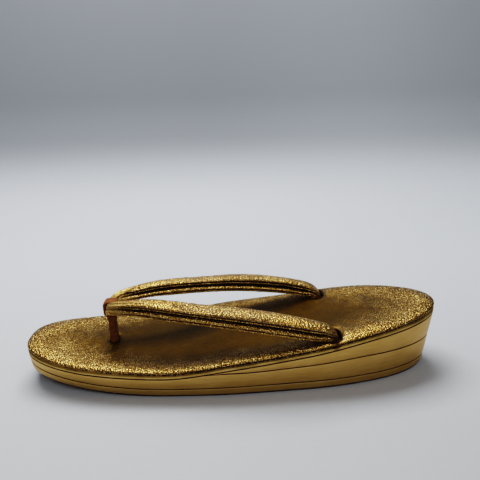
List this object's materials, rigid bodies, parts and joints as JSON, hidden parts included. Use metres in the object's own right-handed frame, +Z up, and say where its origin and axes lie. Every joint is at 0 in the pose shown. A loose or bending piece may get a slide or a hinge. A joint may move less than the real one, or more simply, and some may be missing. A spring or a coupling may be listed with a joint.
{
  "type": "zori sandal",
  "caption": "Women's zori: straight wedge sole in wrapped gold layers, crackled gold footbed, two-tier thong strap on a brown suede toe post.",
  "frame": {"origin": "on the floor, under the middle of the sandal's length and width", "axes": "+X towards the toe, +Y towards the wearer's left, +Z up"},
  "size_m": [0.24, 0.079, 0.0494],
  "materials": {
    "outsole": "dark reddish-brown sole leather",
    "base_layer": "smooth satin gold foil leather",
    "lower_wedge": "smooth satin gold foil leather",
    "upper_wedge": "smooth satin gold foil leather",
    "footbed": "crackled gold foil leather, bright on its rolled edge",
    "strap": "crackled gold foil leather over padding",
    "toe_post": "brown suede"
  },
  "bodies": {
    "root": {"outsole": "outsole", "base_layer": "base_layer", "lower_wedge": "lower_wedge", "upper_wedge": "upper_wedge", "footbed": "footbed", "strap": "strap", "toe_post": "toe_post"}
  },
  "joints": []
}
